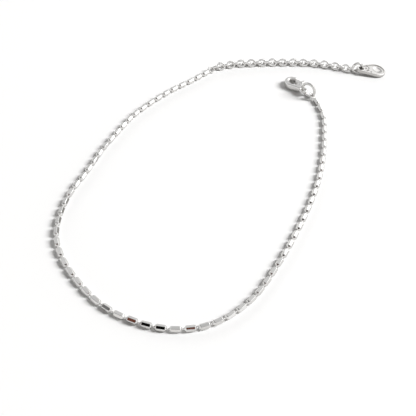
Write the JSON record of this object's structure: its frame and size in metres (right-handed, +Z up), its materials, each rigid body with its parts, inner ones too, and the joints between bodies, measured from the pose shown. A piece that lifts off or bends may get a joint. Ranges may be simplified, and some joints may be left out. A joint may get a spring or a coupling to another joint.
{
  "type": "chain anklet",
  "caption": "Fine bar-bead chain anklet, lying open, with a lobster clasp at one end and a link extension chain with a teardrop end tag at the other.",
  "frame": {"origin": "middle of the whole anklet's footprint, on the surface it lies on", "axes": "+Z up from the surface, +Y towards the clasp and the extension chain, +X towards the end tag"},
  "size_m": [0.0847, 0.1031, 0.0048],
  "materials": {
    "bead_chain": "mirror-polished silver",
    "extension_chain": "polished silver",
    "clasp_ring": "polished silver",
    "tag_ring": "polished silver",
    "clasp_body": "polished silver",
    "clasp_lever": "polished silver",
    "clasp_rivet": "polished silver",
    "end_tag": "polished silver with a satin field"
  },
  "bodies": {
    "anklet": {"bead_chain": "bead_chain", "extension_chain": "extension_chain", "clasp_ring": "clasp_ring", "tag_ring": "tag_ring", "clasp_body": "clasp_body", "clasp_rivet": "clasp_rivet", "end_tag": "end_tag"},
    "lever": {"clasp_lever": "clasp_lever"}
  },
  "joints": [
    {"name": "lever_pivot", "type": "hinge", "parent": "anklet", "child": "lever", "pos_m": [0.01541, 0.03539, 0.00122], "axis": [-0.0493, 0.0493, 0.9976], "range_deg": [0, 22], "stiffness_Nm_per_rad": 0.01}
  ]
}
